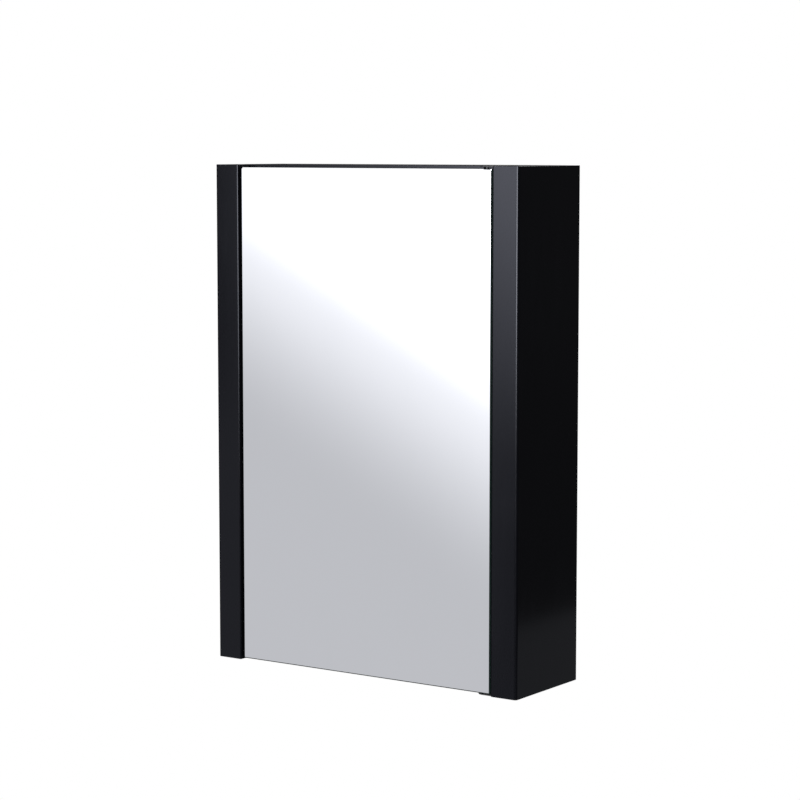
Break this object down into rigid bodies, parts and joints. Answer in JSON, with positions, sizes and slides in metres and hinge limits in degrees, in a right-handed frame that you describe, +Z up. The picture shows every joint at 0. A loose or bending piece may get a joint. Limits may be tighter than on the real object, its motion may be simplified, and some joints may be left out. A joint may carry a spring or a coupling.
{
  "type": "medicine cabinet",
  "caption": "Wall-hung bathroom medicine cabinet with one inset frameless mirror door on pivots between full-height front rails, glass shelves inside and a push latch.",
  "frame": {"origin": "middle of the width and depth, at the bottom edge", "axes": "+X to the right seen from the front, +Y from the mirror to the wall, +Z up"},
  "size_m": [0.5, 0.155, 0.7],
  "materials": {
    "black_lacquer": "satin black lacquer on fibreboard",
    "beech": "plain beech",
    "zinc": "satin nickel-plated zinc",
    "steel": "zinc-plated steel",
    "black_steel": "black powder-coated steel",
    "black_plastic": "fine matt",
    "white_plastic": "fine matt",
    "clear_rubber": "translucent silicone",
    "magnet_steel": "nickel-plated magnet",
    "foam_tape": "white foam",
    "shelf_glass": "clear, polished edges",
    "mirror": "silvered, polished edges"
  },
  "bodies": {
    "cabinet": {"left_side_panel": "black_lacquer", "right_side_panel": "black_lacquer", "left_front_rail": "black_lacquer", "right_front_rail": "black_lacquer", "mitre_biscuits": "beech", "top_panel": "black_lacquer", "bottom_panel": "black_lacquer", "back_panel": "black_lacquer", "upper_hanging_rail": "black_lacquer", "lower_hanging_rail": "black_lacquer", "hanging_rail_dowels": "beech", "panel_dowels": "beech", "cam_locks": "zinc", "cam_bolts": "zinc", "cam_caps": "black_plastic", "lower_shelf": "shelf_glass", "middle_shelf": "shelf_glass", "upper_shelf": "shelf_glass", "shelf_pins": "zinc", "shelf_pin_sleeves": "clear_rubber", "bottom_pivot_plate": "black_steel", "bottom_pivot_pin": "steel", "pivot_washer": "white_plastic", "top_pivot_plate": "black_steel", "pivot_plate_screws": "black_steel", "latch_housing": "black_plastic", "latch_housing_screws": "steel", "latch_spring": "steel", "door_bumpers": "clear_rubber"},
    "door": {"mirror_glass": "mirror", "mirror_tape": "foam_tape", "door_board": "black_lacquer", "door_edge_band": "black_plastic", "lower_pivot_block": "zinc", "upper_pivot_block": "zinc", "pivot_block_screws": "steel", "strike_plate": "steel", "strike_plate_screws": "steel", "top_pivot_spring": "steel"},
    "latch_plunger": {"latch_plunger": "white_plastic", "latch_magnet": "magnet_steel"},
    "top_pivot_pin": {"top_pivot_pin": "steel", "pivot_pin_knob": "black_plastic"}
  },
  "joints": [
    {"name": "door_hinge", "type": "hinge", "parent": "cabinet", "child": "door", "pos_m": [0.195, -0.0665, 0.35], "axis": [0, 0, 1], "range_deg": [0, 110]},
    {"name": "latch_push", "type": "slide", "parent": "cabinet", "child": "latch_plunger", "axis": [0, 1, 0], "range_m": [0, 0.004], "stiffness_N_per_m": 400, "springref_m": -0.004, "deforming": ["latch_spring"]},
    {"name": "pivot_pin_retract", "type": "slide", "parent": "door", "child": "top_pivot_pin", "axis": [0, 0, -1], "range_m": [0, 0.006], "stiffness_N_per_m": 400, "springref_m": -0.004, "deforming": ["top_pivot_spring"]}
  ]
}
